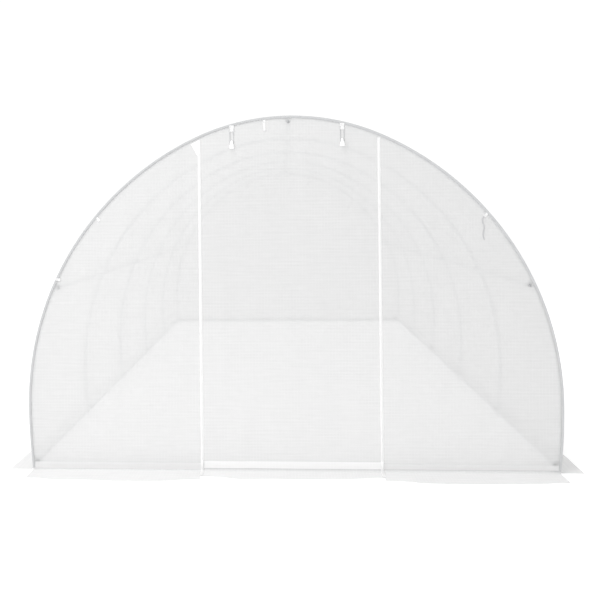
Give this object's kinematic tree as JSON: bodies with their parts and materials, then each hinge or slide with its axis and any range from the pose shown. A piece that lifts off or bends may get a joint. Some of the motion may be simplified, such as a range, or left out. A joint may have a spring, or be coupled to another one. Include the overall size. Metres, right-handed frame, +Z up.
{
  "type": "polytunnel greenhouse",
  "caption": "Walk-in arched tunnel greenhouse: steel tube hoops under a translucent white sheet cover, zipped roll-up doors in the end walls and a ground flap all round.",
  "frame": {"origin": "on the ground at the middle of the whole footprint, ground flaps included", "axes": "+Y along the tunnel from the front end to the back end, +X to the right seen from the front, +Z up"},
  "size_m": [3.2214, 5.2646, 2.0023],
  "materials": {
    "tube_steel": "grey powder coat on steel tube",
    "sleeve_steel": "plain zinc-plated tube",
    "clip_plastic": "moulded, fine grain",
    "cover_sheet": "translucent woven sheet with a reinforcing grid",
    "zip_tape": "white woven tape with a moulded chain",
    "tie_tape": "white woven tape",
    "toggle_plastic": "moulded, satin",
    "tie_cord": "grey braid"
  },
  "bodies": {
    "root": {"hoop_1": "tube_steel", "hoop_2": "tube_steel", "hoop_3": "tube_steel", "hoop_4": "tube_steel", "hoop_5": "tube_steel", "hoop_6": "tube_steel", "joint_sleeves": "sleeve_steel", "ridge_purlin": "tube_steel", "left_purlin": "tube_steel", "right_purlin": "tube_steel", "left_rail": "tube_steel", "right_rail": "tube_steel", "front_sill": "tube_steel", "back_sill": "tube_steel", "purlin_clips": "clip_plastic", "rail_clips": "clip_plastic", "sill_clips": "clip_plastic", "cover_crown": "cover_sheet", "cover_left_upper": "cover_sheet", "cover_right_upper": "cover_sheet", "cover_left_lower": "cover_sheet", "cover_right_lower": "cover_sheet", "cover_left_foot": "cover_sheet", "cover_right_foot": "cover_sheet", "left_flap": "cover_sheet", "right_flap": "cover_sheet", "front_flap": "cover_sheet", "back_flap": "cover_sheet", "front_left_panel": "cover_sheet", "front_door": "cover_sheet", "front_right_panel": "cover_sheet", "back_left_panel": "cover_sheet", "back_door": "cover_sheet", "back_right_panel": "cover_sheet", "front_left_zip": "zip_tape", "front_right_zip": "zip_tape", "back_left_zip": "zip_tape", "back_right_zip": "zip_tape", "front_ties": "tie_tape", "back_ties": "tie_tape", "edge_ties": "tie_tape", "front_toggles": "toggle_plastic", "back_toggles": "toggle_plastic", "tie_cord": "tie_cord"}
  },
  "joints": []
}
